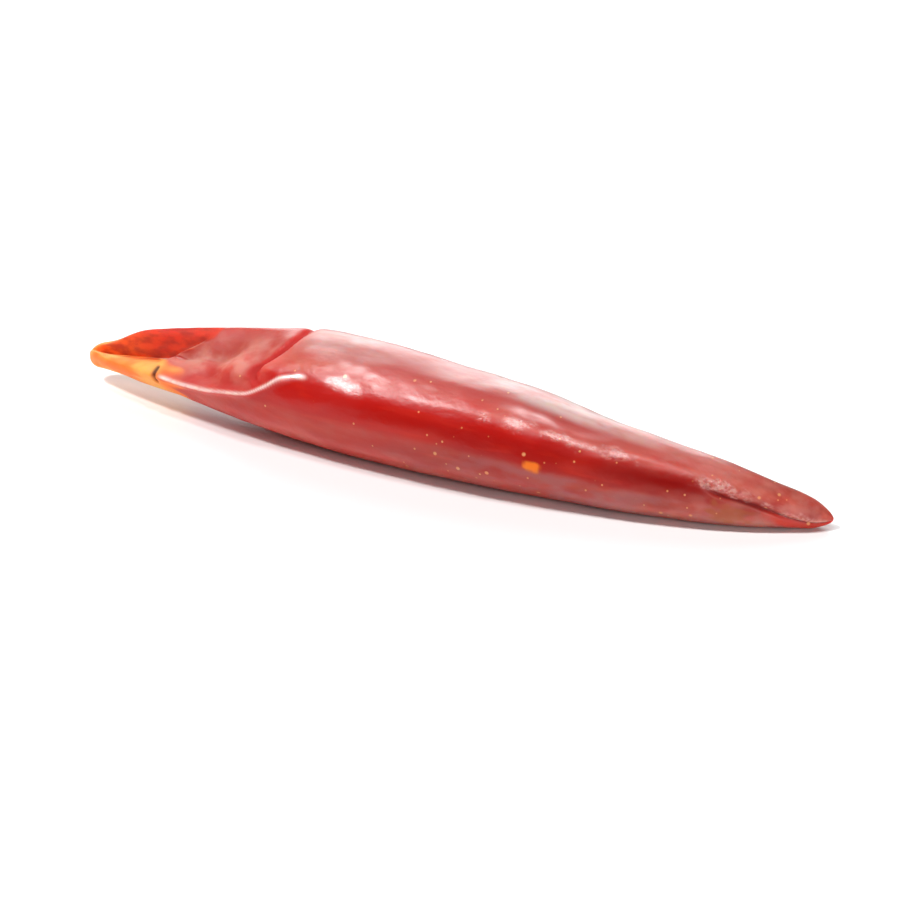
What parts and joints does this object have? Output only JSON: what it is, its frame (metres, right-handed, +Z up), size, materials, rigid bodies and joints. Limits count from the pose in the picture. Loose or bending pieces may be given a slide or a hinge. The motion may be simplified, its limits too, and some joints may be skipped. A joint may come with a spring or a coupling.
{
  "type": "dried chilli pepper",
  "caption": "Whole dried red chilli pepper with its stalk gone: a long, gently bowed tapering pod lying on its side, its stem end pinched and dished and its tip pointed.",
  "frame": {"origin": "centre of the pod's bounding box, brought down onto the surface it lies on", "axes": "+X along the pod from its stem end to its tip, +Y towards the inside of its bend, +Z up from the surface it lies on"},
  "size_m": [0.076, 0.0114, 0.0104],
  "materials": {
    "dried_skin": "glossy"
  },
  "bodies": {
    "root": {"chilli_pod": "dried_skin"}
  },
  "joints": []
}
